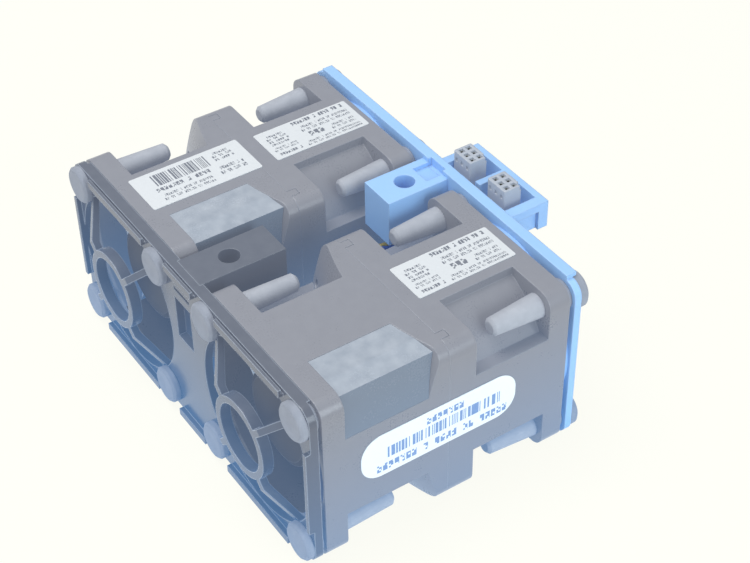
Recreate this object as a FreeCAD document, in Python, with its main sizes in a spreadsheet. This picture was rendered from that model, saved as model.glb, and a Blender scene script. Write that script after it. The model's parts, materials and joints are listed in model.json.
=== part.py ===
import FreeCAD, Part
import math
import os
import Sketcher

from FreeCAD import Placement, Rotation, Vector

# Server fan module: two counter-rotating 40 x 40 x 56 mm fans held side by side
# between a front plate and a rear plate by rubber isolators.
# Frame: X across the module, Y along the air flow, Z up, in millimetres.
# Origin: middle of the front plate's underside.  Every driving size is a cell of
# the sheet "Dims"; each sketch, feature and placement is bound to those cells.

DIMENSIONS = {
    # fans
    "duct_side_wall": 1.0,
    "fan_gap": 11.6,
    "stage_length": 28.0,
    "stand_height": 1.0,
    "flange_thickness": 4.8,
    "flange_corner": 3.2,
    "hole_from_side": 4.0,
    "flange_hole_radius": 2.2,
    "top_arm_half": 8.0,
    "side_arm_half": 10.0,
    "duct_radius": 19.0,
    "duct_wall": 0.8,
    "duct_lead_in": 0.6,
    "inlet_block_length": 2.2,
    "outlet_block_length": 6.0,
    "block_corner": 3.2,
    "wedge_length": 4.3,
    "wedge_overreach": 7.2,
    "block_hole_radius": 0.9,
    "block_hole_depth": 3.0,
    "block_hole_from_side": 2.6,
    "block_hole_z": 11.6,
    "tongue_size": 5.0,
    "tongue_length": 2.0,
    "tongue_clearance": 0.1,
    # motor carrier inside each stage
    "base_radius": 10.2,
    "base_thickness": 4.2,
    "strut_width": 1.6,
    "strut_overlap": 0.4,
    "tube_wall": 0.9,
    "tube_front": 7.2,
    "tube_end_wall": 1.0,
    "bearing_radius": 3.0,
    "bearing_width": 2.5,
    "bearing_inset": 0.2,
    "shoulder_radius": 2.4,
    "rear_bearing_from_end": 6.6,
    # rotor
    "shaft_radius": 1.5,
    "shaft_clearance": 0.03,
    "shaft_chamfer": 0.2,
    "shaft_tail": 1.5,
    "clip_width": 0.4,
    "clip_gap": 0.2,
    "clip_depth": 0.3,
    "clip_radius": 2.3,
    "hub_front": 2.1,
    "hub_gap": 1.7,
    "hub_radius": 10.5,
    "hub_wall": 0.8,
    "hub_front_wall": 1.0,
    "hub_round": 1.6,
    "boss_radius": 2.9,
    "boss_length": 3.0,
    "boss_end_wall": 0.4,
    "fit_gap": 0.05,
    "yoke_wall": 0.5,
    "yoke_setback": 1.0,
    "magnet_wall": 0.9,
    "magnet_front": 6.5,
    "magnet_setback": 3.1,
    "tip_clearance": 0.4,
    "blade_front": 3.4,
    "blade_root_setback": 1.1,
    "blade_root_run": 8.6,
    "blade_root_camber": 1.7,
    "blade_root_thickness": 1.5,
    "blade_tip_setback": 1.4,
    "blade_tip_end_setback": 3.8,
    "blade_tip_run": 14.0,
    "blade_tip_camber": 1.5,
    "blade_tip_thickness": 1.0,
    "blade_overrun": 0.8,
    "trim_margin": 2.0,
    "blade_embed": 0.45,
    "inlet_blades": 5,
    "outlet_blades": 4,
    # stator
    "core_front": 10.4,
    "air_gap": 0.45,
    "poles": 4,
    "tooth_half": 1.3,
    "core_back": 1.0,
    "pole_thickness": 0.8,
    "slot_mouth": 0.9,
    "winding_height": 1.0,
    "winding_inner_gap": 0.15,
    "winding_outer_gap": 0.55,
    "winding_depth": 0.85,
    "winding_round": 0.5,
    "board_thickness": 0.9,
    "board_margin": 0.5,
    "chip_side": 2.6,
    "chip_height": 1.0,
    "chip_radius": 6.4,
    # front plate
    "front_thickness": 1.8,
    "front_gap": 0.8,
    "plate_bore_step": 0.2,
    "rim_rise": 1.1,
    "rim_depth": 1.7,
    "lip_thickness": 0.7,
    "lip_groove_depth": 1.0,
    "ledge_depth": 0.7,
    "ledge_height": 0.7,
    "ledge_end": 3.4,
    "side_rim_depth": 1.0,
    "side_rim_half": 10.5,
    "rim_clearance": 0.5,
    "window_left": -3.7,
    "window_right": 2.4,
    "window_bottom": 23.0,
    "window_height": 10.3,
    "slit_above_window": 1.9,
    "slit_height": 0.9,
    "ring_inner": 7.1,
    "ring_outer": 8.7,
    "ring_front": 3.7,
    "ring_depth": 2.4,
    "spoke_width": 1.5,
    "spoke_knee": 10.9,
    "spoke_back_knee": 10.2,
    "spoke_foot_front": 0.6,
    "spoke_foot_width": 1.6,
    "spoke_foot_overlap": 0.5,
    # guide tabs between the fans
    "tab_half": 4.4,
    "tab_length": 19.2,
    "tab_height": 9.0,
    "guide_hole_radius": 2.2,
    "front_hole_from_plate": 9.0,
    "block_height": 10.8,
    "block_reach": 14.55,
    "rear_hole_from_plate": 7.7,
    "pocket_half": 2.5,
    "pocket_length": 4.7,
    "pocket_end": 0.8,
    "pocket_depth": 1.0,
    # rear plate
    "rear_thickness": 1.6,
    "rear_gap": 1.2,
    "crest_rise": 1.0,
    "crest_root": 0.4,
    "crest_end": 3.0,
    "crest_overhang": 0.8,
    "crest_clearance": 0.1,
    "lead_slot_half": 3.4,
    "lead_slot_bottom": 21.6,
    "lead_slot_height": 5.2,
    # connector shelf
    "shelf_left": -2.0,
    "shelf_right": 21.7,
    "shelf_depth": 10.8,
    "shelf_height": 6.4,
    "shelf_floor": 1.5,
    "shelf_rear_wall": 1.5,
    "shelf_front_wall": 1.2,
    "head_relief": 0.4,
    "well_left_start": 0.0,
    "well_left_end": 8.2,
    "well_right_start": 9.8,
    "well_right_end": 19.3,
    "shelf_skin": 1.9,
    "foot_width": 2.4,
    "side_recess": 0.8,
    "connector_left": 0.4,
    "connector_step": 11.5,
    "connector_width": 5.7,
    "connector_depth": 4.3,
    "connector_rise": 3.0,
    "connector_from_plate": 2.75,
    "connector_seat_gap": 0.05,
    "key_width": 1.2,
    "key_depth": 0.5,
    "key_height": 1.2,
    "cavity_pitch": 1.8,
    "cavity_side": 1.1,
    "cavity_depth": 6.0,
    "contact_side": 0.9,
    "contact_drop": 0.35,
    "contact_bore": 0.25,
    "latch_width": 0.7,
    "latch_height": 0.9,
    "latch_depth": 0.3,
    "latch_drop": 1.3,
    # isolators
    "head_radius": 4.0,
    "inlet_head": 1.65,
    "outlet_head": 2.1,
    "head_round": 0.5,
    "neck_clearance": 0.1,
    "collar_radius": 3.2,
    "inlet_tail_root": 2.3,
    "outlet_tail_root": 2.6,
    "tail_end": 1.9,
    "tip_round": 0.6,
    "inlet_tail_tip": 17.2,
    "outlet_tail_tip": 16.2,
    "seat_gap": 0.03,
    # corner film, labels and leads
    "film_thickness": 0.3,
    "film_crown_setback": 6.0,
    "film_shoulder_setback": 1.9,
    "film_drop": 0.7,
    "film_end_gap": 0.1,
    "label_thickness": 0.12,
    "label_gap": 0.02,
    "number_label_length": 25.4,
    "number_label_width": 11.4,
    "number_label_past_joint": 0.4,
    "number_label_aside": 0.6,
    "rating_label_length": 22.8,
    "rating_label_width": 10.2,
    "left_rating_from_outlet": 1.2,
    "right_rating_from_outlet": 2.0,
    "right_rating_aside": 0.5,
    "sticker_length": 35.6,
    "sticker_width": 10.7,
    "sticker_corner": 4.6,
    "sticker_from_inlet": 8.0,
    "sticker_bottom": 17.0,
    "lead_radius": 1.0,
    "lead_bend": 1.6,
    "lead_past_plate": 2.8,
    "right_lead_aside": 4.2,
    "right_lead_rise": 6.0,
    "lead_drop": 3.4,
    "lead_start_y": 44.0,
    "lead_height": 24.2,
    "lead_offset": 1.7,
}

doc = FreeCAD.newDocument("fan_module")
sheet = doc.addObject("Spreadsheet::Sheet", "Dims")
for row, (alias, number) in enumerate(DIMENSIONS.items(), start=1):
    sheet.set("A%d" % row, alias)
    sheet.set("B%d" % row, str(number))
    sheet.setAlias("B%d" % row, alias)
doc.recompute()


class Size:
    """A number together with the sheet expression that gives it."""

    def __init__(self, value, text):
        self.value = value
        self.text = text

    def join(self, other, sign, value):
        return Size(value, "(%s %s %s)" % (self.text, sign, size(other).text))

    def __add__(self, other):
        return self.join(other, "+", self.value + size(other).value)

    def __sub__(self, other):
        return self.join(other, "-", self.value - size(other).value)

    def __mul__(self, other):
        return self.join(other, "*", self.value * size(other).value)

    def __truediv__(self, other):
        return self.join(other, "/", self.value / size(other).value)

    def __radd__(self, other):
        return size(other) + self

    def __rsub__(self, other):
        return size(other) - self

    def __rmul__(self, other):
        return size(other) * self

    def __neg__(self):
        return Size(-self.value, "(-1 * %s)" % self.text)


def size(thing):
    """Turn a plain number into a Size; a Size stays as it is."""
    if isinstance(thing, Size):
        return thing
    return Size(float(thing), "(%r)" % float(thing) if thing < 0 else "%r" % float(thing))


def dim(name):
    return Size(float(DIMENSIONS[name]), "Dims." + name)


def root(thing):
    return Size(math.sqrt(thing.value), "sqrt(%s)" % thing.text)


def bind(thing, attribute, amount):
    """Bind one property of a document object to a Size."""
    thing.setExpression(attribute, size(amount).text)


def place(thing, x, y, z, turned=False):
    """Bind an object's Placement; turned faces it the other way along Y."""
    spin = Rotation(Vector(0, 0, 1), 180 if turned else 0)
    thing.Placement = Placement(Vector(size(x).value, size(y).value, size(z).value), spin)
    bind(thing, "Placement.Base.x", x)
    bind(thing, "Placement.Base.y", y)
    bind(thing, "Placement.Base.z", z)


# ---------------------------------------------------------------- sketch tools

def new_body(label):
    body = doc.addObject("PartDesign::Body", label)
    body.Label = label
    body.AllowCompound = True
    return body


def origin_part(body, role):
    return [part for part in body.Origin.OriginFeatures if part.Role == role][0]


def new_sketch(body, name, role, offset=0, across=0, up=0, tilt=0):
    """Sketch on an origin plane, moved along its normal and within the plane."""
    drawing = body.newObject("Sketcher::SketchObject", name)
    drawing.AttachmentSupport = (origin_part(body, role), [""])
    drawing.MapMode = "FlatFace"
    base = Vector(size(across).value, size(up).value, size(offset).value)
    drawing.AttachmentOffset = Placement(base, Rotation(Vector(0, 1, 0), tilt))
    bind(drawing, "AttachmentOffset.Base.x", across)
    bind(drawing, "AttachmentOffset.Base.y", up)
    bind(drawing, "AttachmentOffset.Base.z", offset)
    return drawing


def section(body, name, y, across=0, up=0):
    """Sketch across the air flow at height y along it: sketch x is X, sketch y is Z."""
    return new_sketch(body, name, "XZ_Plane", -size(y), across, up)


def fix(drawing, geometry, vertex, x, y):
    """Hold a vertex at x, y from the sketch origin."""
    for kind, amount, axis in (("DistanceX", size(x), -2), ("DistanceY", size(y), -1)):
        if amount.text == "0.0":
            drawing.addConstraint(Sketcher.Constraint("PointOnObject", geometry, vertex, axis))
            continue
        rule = Sketcher.Constraint(kind, -1, 1, geometry, vertex, amount.value)
        number = drawing.addConstraint(rule)
        drawing.setExpression("Constraints[%d]" % number, amount.text)


def set_radius(drawing, geometry, amount):
    number = drawing.addConstraint(Sketcher.Constraint("Radius", geometry, amount.value))
    drawing.setExpression("Constraints[%d]" % number, amount.text)


def polygon(drawing, corners):
    points = [Vector(size(x).value, size(y).value, 0) for x, y in corners]
    count = len(points)
    lines = [drawing.addGeometry(Part.LineSegment(points[i], points[(i + 1) % count]), False)
             for i in range(count)]
    for i, (x, y) in enumerate(corners):
        before = lines[i - 1]
        drawing.addConstraint(Sketcher.Constraint("Coincident", before, 2, lines[i], 1))
        fix(drawing, lines[i], 1, x, y)


def rectangle(drawing, left, right, bottom, top):
    polygon(drawing, [(left, bottom), (right, bottom), (right, top), (left, top)])


def circle(drawing, x, y, radius):
    centre = Vector(size(x).value, size(y).value, 0)
    ring = drawing.addGeometry(Part.Circle(centre, Vector(0, 0, 1), size(radius).value), False)
    fix(drawing, ring, 3, x, y)
    set_radius(drawing, ring, size(radius))


def rounded_rectangle(drawing, left, right, bottom, top, radius):
    """Four sides joined by four tangent corner arcs of one radius."""
    left, right, bottom, top, radius = [size(v) for v in (left, right, bottom, top, radius)]
    centres = [(right - radius, top - radius), (left + radius, top - radius),
               (left + radius, bottom + radius), (right - radius, bottom + radius)]
    arcs = []
    for turn, (x, y) in enumerate(centres):
        round_arc = Part.Circle(Vector(x.value, y.value, 0), Vector(0, 0, 1), radius.value)
        start = turn * math.pi / 2
        arcs.append(drawing.addGeometry(Part.ArcOfCircle(round_arc, start, start + math.pi / 2), False))
    for turn in range(4):
        first, second = arcs[turn], arcs[(turn + 1) % 4]
        side = Part.LineSegment(drawing.Geometry[first].EndPoint, drawing.Geometry[second].StartPoint)
        line = drawing.addGeometry(side, False)
        drawing.addConstraint(Sketcher.Constraint("Tangent", first, 2, line, 1))
        drawing.addConstraint(Sketcher.Constraint("Tangent", line, 2, second, 1))
    for arc, (x, y) in zip(arcs, centres):
        fix(drawing, arc, 3, x, y)
        set_radius(drawing, arc, radius)


def crescent(drawing, start, end, camber, thickness):
    """Blade section: two arcs between the same ends, bowed by camber on one side."""
    ends = [Vector(size(x).value, size(y).value, 0) for x, y in (start, end)]
    run = size(end[0]) - start[0]
    rise = size(end[1]) - start[1]
    chord_squared = run * run + rise * rise
    along = (ends[1] - ends[0]).normalize()
    side = Vector(-along.y, along.x, 0) * (1 if rise.value > 0 else -1)
    middle = (ends[0] + ends[1]) * 0.5
    # an arc drawn the other way round would swap its two end vertices
    if side.cross(along).z < 0:
        ends.reverse()
    arcs = []
    for sag in (camber + thickness / 2, camber - thickness / 2):
        arc = drawing.addGeometry(Part.Arc(ends[0], middle + side * sag.value, ends[1]), False)
        arcs.append(arc)
        set_radius(drawing, arc, chord_squared / (8 * sag) + sag / 2)
    starts = [2 if side.cross(along).z < 0 else 1] * 2
    fix(drawing, arcs[0], starts[0], *start)
    fix(drawing, arcs[0], 3 - starts[0], *end)
    for flip in (False, True):
        vertices = [3 - vertex if flip else vertex for vertex in starts]
        joint = Sketcher.Constraint("Coincident", arcs[0], vertices[0], arcs[1], vertices[1])
        drawing.addConstraint(joint)


# --------------------------------------------------------------- feature tools

def finish_feature(body, feature):
    """Recompute and refuse a feature that is broken or changes nothing."""
    before = body.Shape.Volume if not body.Shape.isNull() else 0.0
    body.Tip = feature
    doc.recompute()
    if "Invalid" in feature.State or "Error" in feature.State:
        raise RuntimeError("%s in %s is invalid" % (feature.Name, body.Label))
    if abs(body.Shape.Volume - before) < 1e-6:
        raise RuntimeError("%s in %s changes nothing" % (feature.Name, body.Label))
    return feature


def pad(body, drawing, name, length, forward=True, both_ways=False):
    """Add material; forward means towards +Y from a section sketch."""
    feature = body.newObject("PartDesign::Pad", name)
    feature.Profile = drawing
    feature.Reversed = forward
    feature.Midplane = both_ways
    bind(feature, "Length", length)
    return finish_feature(body, feature)


def pocket(body, drawing, name, length, forward=True):
    """Remove material; forward means towards +Y from a section sketch."""
    feature = body.newObject("PartDesign::Pocket", name)
    feature.Profile = drawing
    feature.Reversed = not forward
    bind(feature, "Length", length)
    return finish_feature(body, feature)


def turn(body, name, corners, groove=False, across=0, up=0):
    """Revolve a profile of (radius, height along Y) corners about an axis along Y."""
    drawing = new_sketch(body, name + "_profile", "XY_Plane", up, across)
    polygon(drawing, corners)
    kind = "PartDesign::Groove" if groove else "PartDesign::Revolution"
    feature = body.newObject(kind, name)
    feature.Profile = drawing
    feature.ReferenceAxis = (drawing, ["V_Axis"])
    feature.Angle = 360
    return finish_feature(body, feature)


def polar(body, name, feature, count, axis=None):
    pattern = body.newObject("PartDesign::PolarPattern", name)
    pattern.Originals = [feature]
    pattern.Axis = axis or (origin_part(body, "Y_Axis"), [""])
    pattern.Angle = 360
    bind(pattern, "Occurrences", count)
    return finish_feature(body, pattern)


def corners_of(distance_x, distance_z):
    return [(sx * distance_x, sz * distance_z) for sx in (-1, 1) for sz in (-1, 1)]


# ------------------------------------------------------------- shared positions

half_side = dim("duct_radius") + dim("duct_side_wall")
half_pitch = half_side - dim("hole_from_side")
plate_bore = dim("duct_radius") + dim("plate_bore_step")
wedge_reach = half_side + dim("wedge_overreach")
fan_offset = half_side + dim("fan_gap") / 2
fan_centre_z = dim("stand_height") + half_side
inlet_y = dim("front_thickness") / 2 + dim("front_gap")
outlet_y = inlet_y + dim("stage_length") * 2
rear_plate_y = outlet_y + dim("rear_gap")
rear_face_y = rear_plate_y + dim("rear_thickness")
module_half = fan_offset + half_side
fan_top = fan_centre_z + half_side
tube_bore = dim("bearing_radius")
tube_outer = tube_bore + dim("tube_wall")
base_front = dim("stage_length") - dim("base_thickness")
bore_end = dim("stage_length") - dim("tube_end_wall")
front_bearing_front = dim("tube_front") + dim("bearing_inset")
rear_bearing_front = dim("stage_length") - dim("rear_bearing_from_end")
rear_bearing_end = rear_bearing_front + dim("bearing_width")
hub_bore = dim("hub_radius") - dim("hub_wall")
yoke_outer = hub_bore - dim("fit_gap")
magnet_outer = yoke_outer - dim("yoke_wall")
magnet_inner = magnet_outer - dim("magnet_wall")
core_radius = magnet_inner - dim("air_gap")
hub_inside = dim("hub_front") + dim("hub_front_wall")
hub_end = base_front - dim("hub_gap")
magnet_end = hub_end - dim("magnet_setback")
core_length = magnet_end - dim("core_front")
slot_inner = tube_outer + dim("core_back")
slot_outer = core_radius - dim("pole_thickness")
clip_front = rear_bearing_end + dim("clip_gap")
shaft_front = dim("hub_front") + dim("boss_end_wall")

FANS = [("left", -fan_offset), ("right", fan_offset)]
STAGES = [("inlet", inlet_y, False), ("outlet", outlet_y, True)]


def stage_body(label, fan_x, stage):
    """Body in a stage's own frame: its axis is Y, and +Y runs from the outer face inwards."""
    body = new_body(label)
    place(body, fan_x, stage[1], fan_centre_z, stage[2])
    return body


# ------------------------------------------------------------------ fan housing

def build_housing(side, fan_x, stage):
    body = stage_body("%s_%s_housing" % (side, stage[0]), fan_x, stage)
    flange = dim("flange_thickness")
    length = dim("stage_length")
    block_front = length - dim(stage[0] + "_block_length")
    wall = dim("duct_radius") + dim("duct_wall")

    face = section(body, "flange_outline", 0)
    rounded_rectangle(face, -half_side, half_side, -half_side, half_side, dim("flange_corner"))
    pad(body, face, "flange", flange)

    arms = section(body, "arm_outline", flange)
    top, wide = dim("top_arm_half"), dim("side_arm_half")
    polygon(arms, [(-half_side, -wide), (-top, -wide), (-top, -half_side), (top, -half_side),
                   (top, -wide), (half_side, -wide), (half_side, wide), (top, wide),
                   (top, half_side), (-top, half_side), (-top, wide), (-half_side, wide)])
    pad(body, arms, "arms", length - flange)

    shell = section(body, "duct_outline", flange)
    circle(shell, 0, 0, wall)
    pad(body, shell, "duct_shell", length - flange)

    slope_start = block_front - dim("wedge_length") if stage[0] == "inlet" else block_front
    turn(body, "corner_blocks", [(dim("duct_radius"), slope_start), (wedge_reach, block_front),
                                 (wedge_reach, length), (dim("duct_radius"), length)])
    trim = section(body, "outside_outline", flange)
    beyond = wedge_reach + dim("trim_margin")
    rectangle(trim, -beyond, beyond, -beyond, beyond)
    rounded_rectangle(trim, -half_side, half_side, -half_side, half_side, dim("block_corner"))
    pocket(body, trim, "outside_trim", length - flange)

    bore = section(body, "bore_outline", 0)
    circle(bore, 0, 0, dim("duct_radius"))
    pocket(body, bore, "duct", length)
    mouth = dim("duct_radius") + dim("duct_lead_in")
    inside = dim("duct_radius") - 1
    turn(body, "lead_in", [(inside, 0), (mouth, 0), (inside, mouth - inside)], groove=True)

    drill(body, "isolator_bores", 0, flange, half_pitch, half_pitch, "flange_hole_radius")
    if stage[0] == "inlet":
        depth = dim("block_hole_depth") + dim("wedge_length")
        drill(body, "block_bores", slope_start, depth, half_side - dim("block_hole_from_side"),
              dim("block_hole_z"), "block_hole_radius")
    add_motor_carrier(body)
    add_seam(body, stage)


def drill(body, name, y, depth, x, z, radius_name):
    """Four equal holes, one in each corner."""
    holes = section(body, name + "_outline", y)
    for sx, sz in corners_of(1, 1):
        circle(holes, sx * x, sz * z, dim(radius_name))
    pocket(body, holes, name, depth)


def add_motor_carrier(body):
    """Round base, four struts to the duct and the tube that holds the bearings."""
    reach = dim("duct_radius") + dim("strut_overlap")
    half = dim("strut_width") / 2
    struts = section(body, "strut_outline", base_front)
    polygon(struts, [(-reach, -half), (-half, -half), (-half, -reach), (half, -reach),
                     (half, -half), (reach, -half), (reach, half), (half, half),
                     (half, reach), (-half, reach), (-half, half), (-reach, half)])
    pad(body, struts, "struts", dim("base_thickness"))
    turn(body, "carrier", [(0, dim("tube_front")), (tube_outer, dim("tube_front")),
                           (tube_outer, base_front), (dim("base_radius"), base_front),
                           (dim("base_radius"), dim("stage_length")), (0, dim("stage_length"))])
    shoulder_front = front_bearing_front + dim("bearing_width")
    turn(body, "bearing_bore", [(0, dim("tube_front")), (tube_bore, dim("tube_front")),
                                (tube_bore, shoulder_front), (dim("shoulder_radius"), shoulder_front),
                                (dim("shoulder_radius"), rear_bearing_front),
                                (tube_bore, rear_bearing_front), (tube_bore, bore_end),
                                (0, bore_end)], groove=True)


def add_seam(body, stage):
    """Corner tongues of the inlet stage sit in matching gaps of the outlet stage."""
    length = dim("stage_length")
    reach = dim("tongue_length")
    inlet = stage[0] == "inlet"
    slack = dim("tongue_clearance") * (0 if inlet else 1)
    inner = half_side - dim("tongue_size") - slack
    outer = half_side - dim("block_corner") + slack
    far = half_side + slack
    drawing = section(body, "tongue_outline", length if inlet else length - reach)
    for sx, sz in corners_of(1, 1):
        xs = sorted([sx * inner, sx * outer], key=lambda amount: amount.value)
        zs = sorted([sz * inner, sz * far], key=lambda amount: amount.value)
        rectangle(drawing, xs[0], xs[1], zs[0], zs[1])
    if inlet:
        pad(body, drawing, "tongues", reach - dim("tongue_clearance"))
    else:
        pocket(body, drawing, "tongue_slots", reach)


# ------------------------------------------------------------------------ rotor

def build_impeller(side, fan_x, stage):
    """Cup-shaped hub with a boss for the shaft and curved blades out to the duct."""
    body = stage_body("%s_%s_impeller" % (side, stage[0]), fan_x, stage)
    hub, front = dim("hub_radius"), dim("hub_front")
    turn(body, "hub", [(0, front), (hub - dim("hub_round"), front),
                       (hub - dim("hub_round") * 0.3, front + dim("hub_round") * 0.3),
                       (hub, front + dim("hub_round")), (hub, hub_end), (0, hub_end)])

    way = 1 if stage[0] == "inlet" else -1
    edge = dim("blade_front")
    half_run = dim("blade_root_run") / 2 * way
    foot = new_sketch(body, "blade_root", "YZ_Plane", hub - dim("blade_embed"))
    crescent(foot, (edge, half_run), (hub_end - dim("blade_root_setback"), -half_run),
             dim("blade_root_camber"), dim("blade_root_thickness"))
    edge = edge + dim("blade_tip_setback")
    half_run = dim("blade_tip_run") / 2 * way
    tip = new_sketch(body, "blade_tip", "YZ_Plane", dim("duct_radius") + dim("blade_overrun"))
    crescent(tip, (edge, half_run), (hub_end - dim("blade_tip_end_setback"), -half_run),
             dim("blade_tip_camber"), dim("blade_tip_thickness"))
    blade = body.newObject("PartDesign::AdditiveLoft", "blade")
    blade.Profile = foot
    blade.Sections = [tip]
    finish_feature(body, blade)
    polar(body, "blades", blade, dim(stage[0] + "_blades"))

    swept = dim("duct_radius") - dim("tip_clearance")
    beyond = wedge_reach + dim("trim_margin")
    turn(body, "tip_trim", [(swept, 0), (beyond, 0), (beyond, dim("stage_length")),
                            (swept, dim("stage_length"))], groove=True)
    boss = dim("boss_radius")
    turn(body, "cup", [(boss, hub_inside), (hub_bore, hub_inside), (hub_bore, hub_end + 1),
                       (0, hub_end + 1), (0, hub_inside + dim("boss_length")),
                       (boss, hub_inside + dim("boss_length"))], groove=True)
    seat = dim("shaft_radius")
    turn(body, "shaft_seat", [(0, shaft_front), (seat, shaft_front),
                              (seat, hub_inside + dim("boss_length")),
                              (0, hub_inside + dim("boss_length"))], groove=True)


def build_yoke(side, fan_x, stage):
    body = stage_body("%s_%s_yoke" % (side, stage[0]), fan_x, stage)
    eye = dim("boss_radius") + dim("fit_gap")
    end = hub_end - dim("yoke_setback")
    turn(body, "cup", [(eye, hub_inside), (yoke_outer, hub_inside), (yoke_outer, end),
                       (magnet_outer, end), (magnet_outer, hub_inside + dim("yoke_wall")),
                       (eye, hub_inside + dim("yoke_wall"))])


def build_magnet(side, fan_x, stage):
    body = stage_body("%s_%s_magnet" % (side, stage[0]), fan_x, stage)
    front = dim("magnet_front")
    turn(body, "ring", [(magnet_inner, front), (magnet_outer, front),
                        (magnet_outer, magnet_end), (magnet_inner, magnet_end)])


def build_shaft(side, fan_x, stage):
    body = stage_body("%s_%s_shaft" % (side, stage[0]), fan_x, stage)
    radius, bevel = dim("shaft_radius"), dim("shaft_chamfer")
    waist = radius - dim("clip_depth")
    clip_end = clip_front + dim("clip_width")
    end = clip_end + dim("shaft_tail")
    turn(body, "spindle", [(0, shaft_front), (radius - bevel, shaft_front),
                           (radius, shaft_front + bevel), (radius, clip_front),
                           (waist, clip_front), (waist, clip_end), (radius, clip_end),
                           (radius, end - bevel), (radius - bevel, end), (0, end)])


def build_clip(side, fan_x, stage):
    """Open retaining ring in the groove of the shaft."""
    body = stage_body("%s_%s_clip" % (side, stage[0]), fan_x, stage)
    inner, outer = dim("shaft_radius") - dim("clip_depth"), dim("clip_radius")
    end = clip_front + dim("clip_width")
    turn(body, "ring", [(inner, clip_front), (outer, clip_front), (outer, end), (inner, end)])
    mouth = section(body, "mouth_outline", clip_front)
    half = inner * 0.6
    rectangle(mouth, -half, half, 0, outer + 1)
    pocket(body, mouth, "mouth", dim("clip_width"))


def build_bearings(side, fan_x, stage):
    """Two ball bearings in the tube of the motor carrier."""
    body = stage_body("%s_%s_bearings" % (side, stage[0]), fan_x, stage)
    inner = dim("shaft_radius") + dim("shaft_clearance")
    outer = dim("bearing_radius")
    for name, front in (("front", front_bearing_front), ("rear", rear_bearing_front)):
        end = front + dim("bearing_width")
        turn(body, name + "_bearing", [(inner, front), (outer, front), (outer, end), (inner, end)])


# ----------------------------------------------------------------------- stator

def build_core(side, fan_x, stage):
    """Laminated core: a ring with four teeth that end in wide pole faces."""
    body = stage_body("%s_%s_stator_core" % (side, stage[0]), fan_x, stage)
    disc = section(body, "core_outline", dim("core_front"))
    circle(disc, 0, 0, core_radius)
    circle(disc, 0, 0, tube_outer + dim("fit_gap"))
    pad(body, disc, "core", core_length)

    tooth, low, high = dim("tooth_half"), slot_inner, slot_outer
    low_leg = root(low * low - tooth * tooth)
    high_leg = root(high * high - tooth * tooth)
    slot = section(body, "slot_outline", dim("core_front"))
    polygon(slot, [(tooth, low_leg), (low * 0.7071, low * 0.7071), (low_leg, tooth),
                   (high_leg, tooth), (high * 0.866, high * 0.5), (high * 0.7071, high * 0.7071),
                   (high * 0.5, high * 0.866), (tooth, high_leg)])
    cut = pocket(body, slot, "slot", core_length)
    polar(body, "slots", cut, dim("poles"))
    start, end, half = (high - 0.6) * 0.7071, (core_radius + 0.6) * 0.7071, dim("slot_mouth") * 0.3536
    mouth = section(body, "mouth_outline", dim("core_front"))
    polygon(mouth, [(start + half, start - half), (end + half, end - half),
                    (end - half, end + half), (start - half, start + half)])
    cut = pocket(body, mouth, "mouth", core_length)
    polar(body, "mouths", cut, dim("poles"))


def build_windings(side, fan_x, stage):
    """One copper coil round each tooth of the core."""
    body = stage_body("%s_%s_windings" % (side, stage[0]), fan_x, stage)
    inner = dim("tooth_half") + dim("fit_gap")
    outer = inner + dim("winding_depth")
    front = dim("core_front") - dim("fit_gap")
    end = magnet_end + dim("fit_gap")
    start = slot_inner + dim("winding_inner_gap")
    coil = new_sketch(body, "coil_outline", "XY_Plane", start)
    rise = dim("winding_height")
    rounded_rectangle(coil, -outer, outer, front - rise, end + rise, dim("winding_round"))
    rectangle(coil, -inner, inner, front, end)
    length = slot_outer - dim("winding_outer_gap") - start
    first = pad(body, coil, "coil", length, forward=False)
    polar(body, "coils", first, dim("poles"))


def build_board(side, fan_x, stage):
    """Ring-shaped circuit board on the motor base with a driver chip and a sensor."""
    body = stage_body("%s_%s_circuit_board" % (side, stage[0]), fan_x, stage)
    front = base_front - dim("board_thickness")
    disc = section(body, "board_outline", front)
    circle(disc, 0, 0, dim("base_radius") - dim("board_margin"))
    circle(disc, 0, 0, tube_outer + dim("board_margin"))
    pad(body, disc, "board", dim("board_thickness"))
    half, out = dim("chip_side") / 2, dim("chip_radius")
    chips = section(body, "chip_outline", front - dim("chip_height"))
    rectangle(chips, -half, half, out - half, out + half)
    rectangle(chips, -half / 2, half / 2, -out - half / 2, -out + half / 2)
    pad(body, chips, "chips", dim("chip_height") + dim("board_thickness") / 2)


# ----------------------------------------------------------------------- plates

def rim_ranges():
    """X ranges of the straight rim pieces between the isolator heads."""
    keep = dim("head_radius") + dim("rim_clearance")
    inner = fan_offset - half_pitch - keep
    ranges = [(-inner, inner)]
    for sign in (-1, 1):
        near = fan_offset - half_pitch + keep
        far = fan_offset + half_pitch - keep
        ends = (near, far) if sign > 0 else (-far, -near)
        ranges.append(ends)
    return ranges


def add_panel(body, y, thickness, name="panel"):
    """Flat panel over both fans with two round air openings."""
    outline = section(body, name + "_outline", y)
    rounded_rectangle(outline, -module_half, module_half, -half_side, half_side,
                      dim("flange_corner"))
    for side, fan_x in FANS:
        circle(outline, fan_x, 0, plate_bore)
    pad(body, outline, name, thickness)


def add_foot_rim(body, y, thickness):
    """Bottom rim pieces the module stands on."""
    feet = section(body, "foot_outline", y)
    bottom = -half_side - dim("stand_height")
    for left, right in rim_ranges():
        rectangle(feet, left, right, bottom, -half_side + 0.4)
    pad(body, feet, "feet", thickness)


def drill_plate(body, y, thickness):
    holes = section(body, "isolator_holes", y)
    for side, fan_x in FANS:
        for sx, sz in corners_of(1, 1):
            circle(holes, fan_x + sx * half_pitch, sz * half_pitch, dim("flange_hole_radius"))
    pocket(body, holes, "isolator_bores", thickness)


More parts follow.
